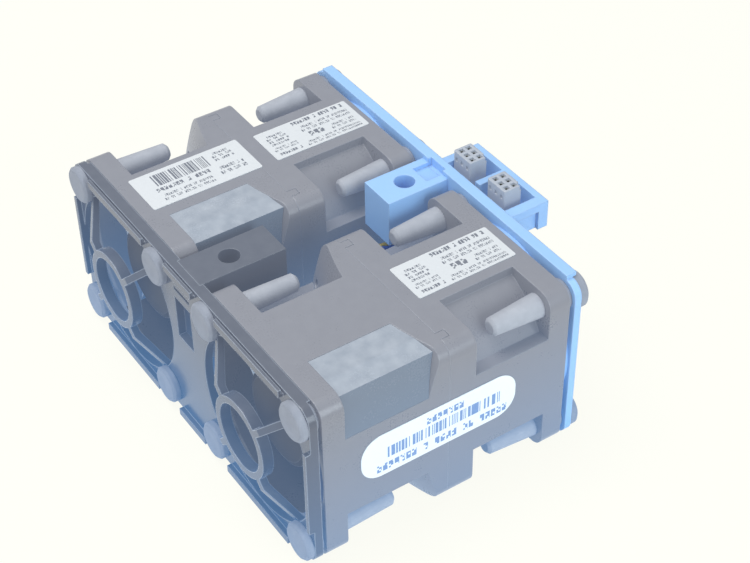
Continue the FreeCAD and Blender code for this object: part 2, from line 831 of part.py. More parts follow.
def build_front_plate():
    body = new_body("front_plate")
    place(body, 0, 0, fan_centre_z)
    thickness = dim("front_thickness")
    face = -thickness / 2
    add_panel(body, face, thickness)
    rise = dim("rim_rise")
    add_foot_rim(body, face - rise, thickness + rise)

    rims = section(body, "rim_outline", face - rise)
    for left, right in rim_ranges():
        rectangle(rims, left, right, half_side - dim("rim_depth"), half_side)
    tall = dim("side_rim_half")
    for sign in (-1, 1):
        edges = [sign * module_half, sign * (module_half - dim("side_rim_depth"))]
        edges = sorted(edges, key=lambda amount: amount.value)
        rectangle(rims, edges[0], edges[1], -tall, tall)
    pad(body, rims, "rims", rise + thickness / 2)
    lower = section(body, "lower_rim_outline", face - rise)
    for left, right in rim_ranges():
        rectangle(lower, left, right, -half_side - 0.2, -half_side + dim("rim_depth") - 1)
    pad(body, lower, "lower_rims", rise + thickness / 2)

    drill_plate(body, face, thickness)
    view = section(body, "window_outline", face)
    low = dim("window_bottom") - fan_centre_z
    high = low + dim("window_height")
    slit = high + dim("slit_above_window")
    left, right = dim("window_left"), dim("window_right")
    rectangle(view, left, right, low, high)
    rectangle(view, left, right, slit, slit + dim("slit_height"))
    pocket(body, view, "window", thickness)

    groove = new_sketch(body, "groove_outline", "XY_Plane", half_side)
    for left, right in rim_ranges():
        rectangle(groove, left, right, face - rise + dim("lip_thickness"), face)
    pocket(body, groove, "lip_groove", dim("lip_groove_depth"))

    ledge = section(body, "ledge_outline", thickness / 2 - dim("crest_root"))
    end = module_half - dim("ledge_end")
    for left, right in ((-end, -dim("tab_half")), (dim("tab_half"), end)):
        rectangle(ledge, left, right, half_side - dim("ledge_height"), half_side)
    pad(body, ledge, "ledge", dim("ledge_depth") + dim("crest_root"))

    for side, fan_x in FANS:
        add_guard(body, side, fan_x, face)


def add_guard(body, side, fan_x, face):
    """Ring in front of the hub, held by four bent spokes from the opening's edge."""
    front = face - dim("ring_front")
    back = front + dim("ring_depth")
    turn(body, side + "_guard_ring", [(dim("ring_inner"), front), (dim("ring_outer"), front),
                                      (dim("ring_outer"), back), (dim("ring_inner"), back)],
         across=fan_x)
    start = (dim("ring_inner") + dim("ring_outer")) / 2
    end = plate_bore + dim("spoke_foot_overlap")
    for number in range(4):
        spoke = new_sketch(body, "%s_spoke_%d_side" % (side, number + 1), "XY_Plane", 0, fan_x,
                           tilt=45 + 90 * number)
        polygon(spoke, [(start, front), (dim("spoke_knee"), front),
                        (end, face + dim("spoke_foot_front")), (end, -face),
                        (plate_bore, -face),
                        (dim("spoke_back_knee"), front + dim("spoke_foot_width")),
                        (start, front + dim("spoke_foot_width"))])
        pad(body, spoke, "%s_spoke_%d" % (side, number + 1), dim("spoke_width"), both_ways=True)


def build_front_tab():
    """Tongue between the fans, behind the inlet plate, with a guide hole."""
    body = new_body("front_tab")
    place(body, 0, dim("front_thickness") / 2, fan_centre_z)
    add_tab(body, 0, dim("tab_length"), dim("tab_height"), dim("front_hole_from_plate"))


def add_tab(body, start, length, height, hole_y):
    half = dim("tab_half")
    tab = section(body, "tab_outline", start)
    rectangle(tab, -half, half, half_side - height, half_side)
    pad(body, tab, "tab", length)
    hole = new_sketch(body, "guide_hole_outline", "XY_Plane", half_side)
    circle(hole, 0, hole_y, dim("guide_hole_radius"))
    pocket(body, hole, "guide_hole", height, forward=True)


def build_rear_block():
    """Block between the fans, in front of the outlet plate, with a guide hole."""
    body = new_body("rear_block")
    place(body, 0, rear_plate_y, fan_centre_z)
    reach = dim("block_reach")
    add_tab(body, -reach, reach, dim("block_height"), -dim("rear_hole_from_plate"))
    cut_pocket(body, half_side)


def cut_pocket(body, top):
    """Shallow rectangular pocket that runs from the block into the plate."""
    wide = dim("pocket_half")
    start = dim("pocket_end") - dim("pocket_length")
    notch = new_sketch(body, "pocket_outline", "XY_Plane", top)
    rectangle(notch, -wide, wide, start, dim("pocket_end"))
    pocket(body, notch, "pocket", top - half_side + dim("pocket_depth"), forward=True)


def build_rear_plate():
    body = new_body("rear_plate")
    place(body, 0, rear_plate_y, fan_centre_z)
    thickness = dim("rear_thickness")
    add_panel(body, 0, thickness)
    add_foot_rim(body, 0, thickness)

    crest_top = half_side + dim("crest_rise")
    end = module_half - dim("crest_end")
    crest = section(body, "crest_outline", 0)
    rectangle(crest, -end, end, half_side - dim("crest_root"), crest_top)
    pad(body, crest, "crest", thickness)
    overhang = section(body, "overhang_outline", 0)
    rectangle(overhang, -end, end, half_side + dim("crest_clearance"), crest_top)
    pad(body, overhang, "overhang", thickness + dim("crest_overhang"))

    cut_pocket(body, crest_top)

    slot = section(body, "lead_slot_outline", 0)
    low = dim("lead_slot_bottom") - fan_centre_z
    wide = dim("lead_slot_half")
    rounded_rectangle(slot, -wide, wide, low, low + dim("lead_slot_height"), 1)
    pocket(body, slot, "lead_slot", thickness)
    add_shelf(body, thickness)
    drill_plate(body, 0, thickness)


def add_shelf(body, start):
    """Shelf behind the plate with two wells for the connectors."""
    left, right = dim("shelf_left"), dim("shelf_right")
    bottom = half_side - dim("shelf_height")
    depth = dim("shelf_depth")
    shelf = section(body, "shelf_outline", start - 0.4)
    rectangle(shelf, left, right, bottom, half_side)
    pad(body, shelf, "shelf", depth + 0.4)

    wells = new_sketch(body, "well_outline", "XY_Plane", half_side)
    near = start + dim("shelf_front_wall")
    far = start + depth - dim("shelf_rear_wall")
    rectangle(wells, dim("well_left_start"), dim("well_left_end"), near, far)
    rectangle(wells, dim("well_right_start"), dim("well_right_end"), near, far)
    pocket(body, wells, "wells", dim("shelf_height") - dim("shelf_floor"), forward=True)

    relief = section(body, "head_relief_outline", start)
    circle(relief, fan_offset - half_pitch, half_pitch, dim("head_radius") + dim("head_relief"))
    pocket(body, relief, "head_relief", dim("outlet_head") + dim("head_relief"))

    recess = new_sketch(body, "side_recess_outline", "XY_Plane", bottom)
    edge = right - dim("side_recess")
    rectangle(recess, edge, right + 1, start, start + depth - dim("foot_width"))
    pocket(body, recess, "side_recess", dim("shelf_height") - dim("shelf_skin"), forward=False)

    passages = new_sketch(body, "lead_passages", "XY_Plane", bottom)
    for number in (0, 1):
        circle(passages, connector_x(number), connector_y, dim("lead_radius") + dim("fit_gap"))
    pocket(body, passages, "lead_holes", dim("shelf_floor"), forward=False)


# ------------------------------------------------------------------- connectors

connector_y = dim("rear_thickness") + dim("connector_from_plate") + dim("connector_depth") / 2
connector_floor = half_side - dim("shelf_height") + dim("shelf_floor")


def connector_x(number):
    return dim("connector_left") + dim("connector_width") / 2 + dim("connector_step") * number


def connector_height():
    rise = dim("connector_rise") - dim("connector_seat_gap")
    return dim("shelf_height") - dim("shelf_floor") + rise


def connector_body(label, number):
    """Body on the well floor with its origin under the middle of the connector."""
    body = new_body(label)
    floor = fan_centre_z + connector_floor + dim("connector_seat_gap")
    place(body, connector_x(number), rear_plate_y + connector_y, floor)
    return body


# A connector holds its contacts in columns along its width and rows along its depth.
COLUMNS = 3
ROWS = 2


def column_x(column):
    return (column - (COLUMNS - 1) / 2) * dim("cavity_pitch")


def cavity_grid():
    depths = [(row - (ROWS - 1) / 2) * dim("cavity_pitch") for row in range(ROWS)]
    return [(column_x(column), depth) for column in range(COLUMNS) for depth in depths]


def build_connector(side, number):
    body = connector_body("%s_connector" % side, number)
    half_x, half_y = dim("connector_width") / 2, dim("connector_depth") / 2
    outline = new_sketch(body, "housing_outline", "XY_Plane")
    rounded_rectangle(outline, -half_x, half_x, -half_y, half_y, 0.3)
    height = connector_height()
    pad(body, outline, "housing", height, forward=False)

    cells = new_sketch(body, "cavity_outline", "XY_Plane", height)
    half = dim("cavity_side") / 2
    for x, y in cavity_grid():
        rectangle(cells, x - half, x + half, y - half, y + half)
    pocket(body, cells, "cavities", dim("cavity_depth"), forward=True)

    windows = section(body, "latch_outline", -half_y)
    wide = dim("latch_width") / 2
    top = height - dim("latch_drop")
    for column in range(COLUMNS):
        x = column_x(column)
        rectangle(windows, x - wide, x + wide, top - dim("latch_height"), top)
    pocket(body, windows, "latch_windows", dim("latch_depth"))

    step = new_sketch(body, "step_outline", "XY_Plane", height)
    rectangle(step, half_x - dim("key_width"), half_x + 1, half_y - dim("key_depth"), half_y + 1)
    pocket(body, step, "key_step", dim("key_height"), forward=True)


def build_contacts(side, number):
    """Six socket contacts standing in the cavities of one connector."""
    body = connector_body("%s_contacts" % side, number)
    half = dim("contact_side") / 2
    bottom = connector_height() - dim("cavity_depth") + dim("connector_seat_gap")
    drawing = new_sketch(body, "contact_outline", "XY_Plane", bottom)
    for x, y in cavity_grid():
        rectangle(drawing, x - half, x + half, y - half, y + half)
        circle(drawing, x, y, dim("contact_bore"))
    length = dim("cavity_depth") - dim("connector_seat_gap") - dim("contact_drop")
    pad(body, drawing, "contacts", length, forward=False)


# ------------------------------------------------- isolators, film, labels, leads

def build_isolators(side, fan_x, stage):
    """Four rubber pins: head outside the plate, collar, neck and long tapered tail."""
    body = stage_body("%s_%s_isolators" % (side, stage[0]), fan_x, stage)
    inlet = stage[0] == "inlet"
    gap = dim("front_gap" if inlet else "rear_gap")
    plate = dim("front_thickness" if inlet else "rear_thickness")
    slack, head = dim("seat_gap"), dim("head_radius")
    seat = -gap - plate - slack
    face = seat - dim(stage[0] + "_head")
    neck = dim("flange_hole_radius") - dim("neck_clearance")
    collar = dim("collar_radius")
    catch = dim("flange_thickness") + slack
    tip, tail, bevel = dim(stage[0] + "_tail_tip"), dim("tail_end"), dim("tip_round")
    corners = [(0, face), (head - dim("head_round"), face), (head, face + dim("head_round")),
               (head, seat), (neck, seat), (neck, -gap + slack), (collar, -gap + slack),
               (collar, -slack), (neck, -slack), (neck, catch),
               (dim(stage[0] + "_tail_root"), catch), (tail, tip - bevel), (tail - bevel, tip),
               (0, tip)]
    pin = turn(body, "pin", corners, across=half_pitch, up=half_pitch)
    polar(body, "pins", pin, 4)


def build_film(side, fan_x):
    """Thin film that closes the upper right corner recess of the inlet stage."""
    body = stage_body("%s_corner_film" % side, fan_x, STAGES[0])
    start = dim("flange_thickness")
    end = dim("stage_length") - dim("inlet_block_length") - dim("film_end_gap")
    left = dim("top_arm_half") + dim("film_end_gap")
    low = dim("side_arm_half") + dim("film_end_gap")
    skin, drop = dim("film_thickness"), dim("film_drop")
    crown = half_side - dim("film_crown_setback")
    shoulder = half_side - dim("film_shoulder_setback")
    sheet_outline = section(body, "film_outline", start)
    polygon(sheet_outline, [(left, half_side), (crown, half_side), (shoulder, half_side - drop),
                            (half_side, low), (half_side - skin, low),
                            (shoulder - skin * 0.85, half_side - drop - skin * 0.85),
                            (crown - skin * 0.15, half_side - skin), (left, half_side - skin)])
    pad(body, sheet_outline, "film", end - start)
    inner, reach = dim("duct_radius"), wedge_reach
    turn(body, "end_slope", [(inner, end - dim("wedge_length")), (reach, end), (reach, end + 1),
                             (inner, end + 1)], groove=True)


def build_top_label(label, x, end, width, length):
    """Paper label on a fan's top that runs back from its end."""
    body = new_body(label)
    place(body, x, end - length, fan_top + dim("label_gap"))
    outline = new_sketch(body, "label_outline", "XY_Plane")
    rounded_rectangle(outline, -width / 2, width / 2, 0, length, 0.4)
    pad(body, outline, "label", dim("label_thickness"), forward=False)


def build_sticker():
    """Long sticker with rounded ends on the outer side of the right fan."""
    body = new_body("side_sticker")
    place(body, module_half + dim("label_gap"), inlet_y + dim("sticker_from_inlet"),
          dim("sticker_bottom"))
    outline = new_sketch(body, "sticker_outline", "YZ_Plane")
    rounded_rectangle(outline, 0, dim("sticker_length"), 0, dim("sticker_width"),
                      dim("sticker_corner"))
    pad(body, outline, "sticker", dim("label_thickness"), forward=False)


def rounded_path(points, radius):
    """Wire through the points with a tangent arc at every inner corner."""
    edges = []
    start = points[0]
    for before, corner, after in zip(points, points[1:], points[2:]):
        back = (before - corner).normalize()
        ahead = (after - corner).normalize()
        half_angle = back.getAngle(ahead) / 2
        reach = radius / math.tan(half_angle)
        first, last = corner + back * reach, corner + ahead * reach
        inwards = (back + ahead).normalize()
        middle = corner + inwards * (radius / math.sin(half_angle) - radius)
        edges.append(Part.makeLine(start, first))
        edges.append(Part.Arc(first, middle, last).toShape())
        start = last
    edges.append(Part.makeLine(start, points[-1]))
    return Part.Wire(edges)


def build_lead(side, number):
    """Insulated lead bundle from the fan's inner wall to the underside of its connector."""
    way = -1 if side == "left" else 1
    height = dim("lead_height").value
    wall_x = way * (fan_offset - half_side).value
    run_x = way * dim("lead_offset").value
    start_y = dim("lead_start_y").value
    plate_y = rear_plate_y.value
    end_x = connector_x(number).value
    end_y = plate_y + connector_y.value
    end_z = (fan_centre_z + connector_floor).value
    points = [Vector(wall_x, start_y, height), Vector(run_x, start_y, height),
              Vector(run_x, plate_y + dim("lead_past_plate").value, height)]
    if side == "right":
        points.append(Vector(run_x + dim("right_lead_aside").value, end_y,
                             height + dim("right_lead_rise").value))
    points.append(Vector(end_x, end_y, end_z - dim("lead_drop").value))
    points.append(Vector(end_x, end_y, end_z))
    path = rounded_path(points, dim("lead_bend").value)
    ring = Part.Wire([Part.makeCircle(dim("lead_radius").value, points[0], Vector(-way, 0, 0))])
    lead = doc.addObject("Part::Feature", "%s_lead" % side)
    lead.Label = "%s_lead" % side
    lead.Shape = path.makePipeShell([ring], True, False)


def build_fan(side, fan_x):
    for stage in STAGES:
        for build in (build_housing, build_impeller, build_yoke, build_magnet, build_shaft,
                      build_clip, build_bearings, build_core, build_windings, build_board,
                      build_isolators):
            build(side, fan_x, stage)
    build_film(side, fan_x)


for side, fan_x in FANS:
    build_fan(side, fan_x)
build_front_plate()
build_front_tab()
build_rear_plate()
build_rear_block()
for number, (side, fan_x) in enumerate(FANS):
    build_connector(side, number)
    build_contacts(side, number)
    build_lead(side, number)
build_top_label("number_label", -fan_offset - dim("number_label_aside"),
                inlet_y + dim("stage_length") + dim("number_label_past_joint"),
                dim("number_label_width"), dim("number_label_length"))
build_top_label("left_rating_label", -fan_offset, outlet_y - dim("left_rating_from_outlet"),
                dim("rating_label_width"), dim("rating_label_length"))
build_top_label("right_rating_label", fan_offset + dim("right_rating_aside"),
                outlet_y - dim("right_rating_from_outlet"),
                dim("rating_label_width"), dim("rating_label_length"))
build_sticker()
doc.recompute()


# ----------------------------------------------------------------------- export

def leaf_parts():
    return [thing for thing in doc.Objects
            if thing.isDerivedFrom("PartDesign::Body") or thing.TypeId == "Part::Feature"]


def check_state():
    for thing in doc.Objects:
        if "Invalid" in thing.State or "Error" in thing.State:
            raise RuntimeError("%s: %s" % (thing.Label, thing.State))
        if thing.TypeId == "Sketcher::SketchObject" and thing.FullyConstrained is False:
            print("loose sketch", thing.Label)


check_state()
os.makedirs("parts", exist_ok=True)
for part in leaf_parts():
    shape = part.Shape
    if shape.isNull() or not shape.isValid() or not shape.Solids:
        raise RuntimeError("%s has no valid solid" % part.Label)
    shape.exportStep("parts/%s.step" % part.Label)
    print("%-28s %3d solids %10.2f mm3" % (part.Label, len(shape.Solids), shape.Volume))
print(len(leaf_parts()), "parts written")
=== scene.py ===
# %% [markdown]
# # A twin server fan module
#
# Two deep 40 mm fans sit side by side between a dark inlet plate and a light blue
# outlet plate.  Rubber pins hold them, so that their hum stays out of the chassis.
# The solids come in finished from the CAD model, in metres and in one shared frame.
# This notebook gives them their surfaces, adds the two thin rims and the two twisted
# leads that the solids leave out, and sets the light and the camera.

# %% Load the solids
import bmesh
import bpy
import json
import math
import mathutils
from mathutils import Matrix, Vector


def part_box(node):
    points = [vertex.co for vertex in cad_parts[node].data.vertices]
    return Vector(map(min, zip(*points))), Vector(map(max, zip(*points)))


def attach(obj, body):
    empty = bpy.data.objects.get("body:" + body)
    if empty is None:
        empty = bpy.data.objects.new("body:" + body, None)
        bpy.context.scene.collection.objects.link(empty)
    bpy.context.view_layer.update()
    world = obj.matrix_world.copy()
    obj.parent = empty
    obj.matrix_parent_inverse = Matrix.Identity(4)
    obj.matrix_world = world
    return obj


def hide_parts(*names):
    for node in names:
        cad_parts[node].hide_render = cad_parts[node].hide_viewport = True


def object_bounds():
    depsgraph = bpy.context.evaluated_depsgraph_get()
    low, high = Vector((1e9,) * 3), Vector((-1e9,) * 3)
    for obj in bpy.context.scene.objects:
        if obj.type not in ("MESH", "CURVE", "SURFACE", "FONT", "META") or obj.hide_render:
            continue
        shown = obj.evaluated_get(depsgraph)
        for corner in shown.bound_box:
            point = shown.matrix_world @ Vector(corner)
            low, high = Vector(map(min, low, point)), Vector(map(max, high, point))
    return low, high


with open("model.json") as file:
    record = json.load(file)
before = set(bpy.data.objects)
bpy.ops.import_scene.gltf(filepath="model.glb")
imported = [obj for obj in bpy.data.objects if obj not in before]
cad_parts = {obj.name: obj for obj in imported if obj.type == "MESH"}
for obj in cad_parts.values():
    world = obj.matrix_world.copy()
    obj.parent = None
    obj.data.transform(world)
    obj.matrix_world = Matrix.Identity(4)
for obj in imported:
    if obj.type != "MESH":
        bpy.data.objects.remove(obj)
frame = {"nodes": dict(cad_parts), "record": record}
cad_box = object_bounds()
nodes = {name: bpy.data.objects[name] for name in frame["nodes"]}

# %% [markdown]
# ## Writing shader maths as Python
#
# A material is a small machine of nodes.  Clicking it together is easy to follow but
# slow to change, and a long list of "new node, new link" lines hides the idea.  So a
# socket is wrapped in a small class: adding or multiplying two of them adds the Math
# node.  Everything that isn't plain arithmetic goes through one method, `Finish.node`.


# %% A socket that does arithmetic
class Tap:
    """An output socket; arithmetic on it adds Math nodes to its tree."""

    def __init__(self, socket):
        self.socket = socket

    def math(self, operation, *values):
        tree = self.socket.id_data
        step = tree.nodes.new("ShaderNodeMath")
        step.operation = operation
        for entry, value in zip(step.inputs, values):
            if isinstance(value, Tap):
                tree.links.new(value.socket, entry)
            else:
                entry.default_value = value
        return Tap(step.outputs[0])

    def __add__(self, other):
        return self.math("ADD", self, other)

    def __sub__(self, other):
        return self.math("SUBTRACT", self, other)

    def __mul__(self, other):
        return self.math("MULTIPLY", self, other)

    def __truediv__(self, other):
        return self.math("DIVIDE", self, other)

    def __radd__(self, other):
        return self.math("ADD", other, self)

    def __rsub__(self, other):
        return self.math("SUBTRACT", other, self)

    def __rmul__(self, other):
        return self.math("MULTIPLY", other, self)

    def above(self, level):
        return self.math("GREATER_THAN", self, level)

    def below(self, level):
        return self.math("LESS_THAN", self, level)

    def between(self, low, high):
        return self.above(low) * self.below(high)

    def clamped(self):
        return self.math("MINIMUM", self.math("MAXIMUM", self, 0.0), 1.0)

    def either(self, other):
        return self.math("MAXIMUM", self, other)


print("sockets can add, subtract, multiply, divide and compare")

# %% [markdown]
# ## A finish
#
# Every finish here starts from the Principled shader.  What is the same all over the
# surface, such as a coat or the metal's strength, is set on the shader itself.  What
# changes from place to place is built from nodes and feeds colour, roughness or bump.


# %% One material with its node tree
class Finish:
    """A material: constants on the shader, changing values through nodes."""

    def __init__(self, name, **constants):
        self.material = bpy.data.materials.new(name)
        self.material.use_nodes = True
        self.tree = self.material.node_tree
        self.shader = self.tree.nodes["Principled BSDF"]
        for socket, value in constants.items():
            self.shader.inputs[socket.replace("_", " ")].default_value = value
        place = self.tree.nodes.new("ShaderNodeTexCoord")
        self.place = Tap(place.outputs["Object"])

    def node(self, kind, settings, sockets, output=0):
        made = self.tree.nodes.new(kind)
        for name, value in settings.items():
            if name == "stops":
                for stop, (at, colour) in zip(made.color_ramp.elements, value):
                    stop.position, stop.color = at, colour
            else:
                setattr(made, name, value)
        for name, value in sockets.items():
            self.connect(made.inputs[name], value)
        return Tap(made.outputs[output])

    def connect(self, entry, value):
        if isinstance(value, Tap):
            self.tree.links.new(value.socket, entry)
        else:
            entry.default_value = value

    def feed(self, **values):
        for name, value in values.items():
            self.connect(self.shader.inputs[name.replace("_", " ")], value)

    def noise(self, per_metre, detail=2.0, stretch=(1, 1, 1)):
        sized = self.node("ShaderNodeVectorMath", {"operation": "MULTIPLY"},
                          {0: self.place, 1: tuple(per_metre * s for s in stretch)})
        return self.node("ShaderNodeTexNoise", {}, {"Vector": sized, "Scale": 1.0,
                                                   "Detail": detail}, "Fac")

    def blend(self, amount, first, second):
        """Mix two colours; a Math node would turn them grey."""
        return self.node("ShaderNodeMix", {"data_type": "RGBA"},
                         {"Factor": amount, 6: first, 7: second}, 2)

    def axis(self, letter):
        return self.node("ShaderNodeSeparateXYZ", {}, {0: self.place}, letter)


def shade(colour, factor):
    """A lighter or darker version of a colour."""
    return tuple(min(channel * factor, 1.0) for channel in colour[:3]) + (1.0,)


def srgb(red, green, blue):
    """A screen colour, 0 to 255, as the linear colour the shader works in."""
    parts = [value / 255 for value in (red, green, blue)]
    return tuple(p / 12.92 if p < 0.04045 else ((p + 0.055) / 1.055) ** 2.4 for p in parts) + (1.0,)


print("a finish holds a shader, its constants and its changing values")

# %% [markdown]
# ## Places inside the fans
#
# Air runs down two round ducts, and what sits in them gets less light than the plates.
# Painting each hidden face by hand would tie the finishes to one mesh.  Instead a
# point's distance from the fan's axis and its depth along it say whether it lies in a
# duct, and whether it lies on a blade near the open air.  The plastics then paint shade
# in the ducts and light on those blades.

# %% In a duct, or on a blade
duct_clearance = 0.0006
end_clearance = 0.0001
hub_radius = 0.0106
blade_light = 0.011


def off_axis(finish):
    """Squared distance in metres from the axis of the nearer fan."""
    low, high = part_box("left_inlet_impeller")
    sideways = finish.axis("X")
    aside = sideways.math("ABSOLUTE", sideways) - abs(low[0] + high[0]) / 2
    raised = finish.axis("Z") - (low[2] + high[2]) / 2
    return aside * aside + raised * raised


def in_duct(finish):
    """1 on the faces inside either fan's duct, 0 outside."""
    low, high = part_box("left_inlet_impeller")
    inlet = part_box("left_inlet_housing")[0][1] + end_clearance
    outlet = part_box("left_outlet_housing")[1][1] - end_clearance
    radius = (high[2] - low[2]) / 2 + duct_clearance
    return off_axis(finish).below(radius ** 2) * finish.axis("Y").between(inlet, outlet)


def blade_painted_light(finish):
    """1 on the blade edges that meet the open air, fading to 0 some millimetres deeper; painted light
    goes there.
    """
    front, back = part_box("left_inlet_impeller")[0][1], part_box("left_outlet_impeller")[1][1]
    depth = finish.axis("Y")
    lit = (1.0 - (depth - front) / blade_light).either((depth - back) / blade_light + 1.0)
    return lit.clamped() * off_axis(finish).above(hub_radius ** 2)


print("light reaches", round(blade_light * 1000), "mm into the blades")

# %% [markdown]
# ## Painted glow
#
# Strong light on a white table washes dark plastic out: it turns milky, and blue where
# the table's shade falls on it.  Lighter base colours would only scale with the lamps,
# so a faint glow is painted on instead: painted light, whose tint follows the height
# over the table.  The ducts have a dimmer, greyer glow of their own: painted shade.

# %% The painted glow over a finish
painted_glow_height = 0.038
# Painted light: the glow is bluish near the table and greyer higher up.
painted_glow_low = (0.05, 0.13, 0.27, 1.0)
painted_glow_high = (0.075, 0.086, 0.112, 1.0)
# Painted shade: a dimmer, greyer glow in the ducts.
painted_duct_shade_glow = (0.075, 0.075, 0.082, 1.0)


def add_painted_glow(finish, amount=1.0):
    """Add the painted glow, dimmer in the ducts as painted shade, and return 1 where the finish lies
    in a duct.
    """
    height = (finish.axis("Z") / painted_glow_height).clamped()
    tint = finish.blend(height, painted_glow_low, painted_glow_high)
    inside = in_duct(finish)
    tint = finish.blend(inside * 0.5, tint, painted_duct_shade_glow)
    finish.shader.inputs["Emission Strength"].default_value = amount
    finish.feed(Emission_Color=tint)
    return inside


print("haze changes over", round(painted_glow_height * 1000), "mm of height")

# %% [markdown]
# ## Moulded plastic
#
# Most of the module is injection-moulded plastic.  Its colour is even but never flat:
# the tool's fine spark-eroded grain breaks the light up, flow marks shift the tone a
# little, and edges that rub in the chassis turn paler; the paler edges are also a painted
# highlight.  Upward faces are painted paler as dust and as painted top light, faces in
# the ducts darker as painted shade, and blades near the open air lighter as painted light.
# Chamfers in the mesh could show the rubbed edges, but a Bevel node finds them without
# changing the mesh, and also rounds their highlights.

# %% The plastic finish
# Paler upward faces: settled dust and painted top light.
dust_and_top_light_colour = srgb(214, 218, 222)
# Paler edges: rubbed wear and a painted highlight.
rubbed_and_glinting_edge = srgb(196, 206, 220)
# Painted light on the blades near the open air.
blade_painted_highlight = srgb(176, 200, 224)
patches_per_metre = 140
grit_per_metre = 2600
dust_and_top_light_per_metre = 420
grit_depth = 0.00004


def plastic(name, colour, roughness=0.36, grain=0.3, edge_wear_and_glint=0.12, dust_and_top_light=0.06, coat=0.0, painted_glow=1.0,
            shine=0.5, rounding=0.00035, blades=False):
    """Grained plastic with a painted glow, paler edges (wear and painted highlight), paler upward
    faces (dust and painted top light), painted shade in the ducts and, on blades, painted light near
    the open air; lengths are in metres.
    """
    finish = Finish(name, Coat_Weight=coat, Specular_IOR_Level=shine)
    # Painted light: the finish glows faintly all over.
    inside = add_painted_glow(finish, painted_glow)
    patches = finish.noise(patches_per_metre, 3.0)
    grit = finish.noise(grit_per_metre, 1.0)
    rounded = finish.node("ShaderNodeBevel", {"samples": 8}, {"Radius": rounding})
    flat = finish.node("ShaderNodeNewGeometry", {}, {}, "Normal")
    facing = finish.node("ShaderNodeVectorMath", {"operation": "DOT_PRODUCT"},
                         {0: rounded, 1: flat}, "Value")
    edge = ((1.0 - facing) * 7.0 * (0.5 + patches)).clamped()
    upward = finish.node("ShaderNodeSeparateXYZ", {}, {0: flat}, "Z")
    # Dust and painted top light: upward faces are painted paler, in patches.
    settled_and_top_lit = (upward * 1.2 - 0.4).clamped() * (0.4 + finish.noise(dust_and_top_light_per_metre, 2.0))
    tone = finish.blend(patches, shade(colour, 0.96), shade(colour, 1.04))
    tone = finish.blend(settled_and_top_lit * dust_and_top_light, tone, dust_and_top_light_colour)
    # Painted shade: faces in the ducts are painted at 40 % of their colour.
    tone = finish.blend(inside, tone, shade(colour, 0.4))
    # Painted light: blade faces near the open air are painted pale blue.
    if blades:
        tone = finish.blend(blade_painted_light(finish), tone, blade_painted_highlight)
    # Edges are painted paler: partly rubbed wear, partly painted highlight.
    tone = finish.blend(edge * edge_wear_and_glint, tone, rubbed_and_glinting_edge)
    finish.feed(Base_Color=tone, Roughness=(roughness - 0.06) + patches * 0.1 + grit * 0.06)
    bump = finish.node("ShaderNodeBump", {}, {"Strength": grain, "Distance": grit_depth,
                                              "Height": grit, "Normal": rounded})
    finish.feed(Normal=bump)
    return finish


print("plastic has", grit_per_metre, "grains to the metre")

# %% Each moulded plastic
inlet_grey = srgb(56, 61, 72)
fan_grey = srgb(112, 112, 117)
rotor_grey = srgb(64, 74, 92)
pale_blue = srgb(140, 184, 232)
finishes = {
    "dark_plastic": plastic("inlet plate plastic", inlet_grey, 0.2, edge_wear_and_glint=0.45),
    "fan_plastic": plastic("fan housing plastic", fan_grey, 0.27),
    # The rotor's pale edges are painted glints.
    "rotor_plastic": plastic("rotor plastic", rotor_grey, 0.3, grain=0.1, edge_wear_and_glint=0.8, shine=0.04,
                             blades=True),
    "blue_plastic": plastic("outlet plate plastic", pale_blue, 0.42, edge_wear_and_glint=0.2, painted_glow=0.6),
    "connector_plastic": plastic("connector plastic", srgb(150, 156, 164), 0.45, edge_wear_and_glint=0.1, painted_glow=1.3),
    # On the film the paler upward faces are mostly painted top light.
    "film": plastic("corner film", srgb(92, 104, 118), 0.24, grain=0.05, edge_wear_and_glint=0.1, dust_and_top_light=0.4,
                    rounding=0.0001),
}
print(len(finishes), "plastic finishes")

# %% [markdown]
# ## Rubber, metals, board and wire
#
# The isolators are soft rubber: matt, and a little cloudy.  The motor parts are seen
# only between the blades, if at all, but each keeps its own true finish: ground shafts
# and bearings, a drawn steel cup, a dull bonded magnet, enamelled copper laid turn
# beside turn, and a green board.  One metal function serves all the steels, and only
# the direction in which its noise is stretched tells turned from drawn.


# %% Rubber and metal finishes
def rubber(name, head, tail):
    """Soft rubber: the heads outside the plates are handled and darker than the tails."""
    finish = Finish(name, Specular_IOR_Level=0.4)
    add_painted_glow(finish)
    face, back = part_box("left_inlet_housing")[0][1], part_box("left_outlet_housing")[1][1]
    colour = finish.blend(finish.axis("Y").between(face, back), head, tail)
    cloud = finish.noise(500, 4.0)
    rounded = finish.node("ShaderNodeBevel", {"samples": 6}, {"Radius": 0.0005})
    dark = finish.blend(0.14, colour, (0.0, 0.0, 0.0, 1.0))
    pale = finish.blend(0.1, colour, (1.0, 1.0, 1.0, 1.0))
    tone = finish.blend(cloud, dark, pale)
    bump = finish.node("ShaderNodeBump", {}, {"Strength": 0.4, "Distance": 0.00005,
                                              "Height": finish.noise(3000), "Normal": rounded})
    finish.feed(Base_Color=tone, Roughness=0.55 + cloud * 0.2, Normal=bump)
    return finish


def metal(name, colour, roughness, lines=(1, 1, 1)):
    """Bare metal; lines below 1 stretch the brushed marks along that axis."""
    finish = Finish(name, Metallic=1.0)
    brushed = finish.noise(2200, 2.0, lines)
    tone = finish.blend(brushed, shade(colour, 0.88), shade(colour, 1.08))
    bump = finish.node("ShaderNodeBump", {}, {"Strength": 0.25, "Distance": 0.00002,
                                              "Height": brushed})
    finish.feed(Base_Color=tone, Roughness=roughness - 0.06 + brushed * 0.14, Normal=bump)
    return finish


turn_phase = 18000.0


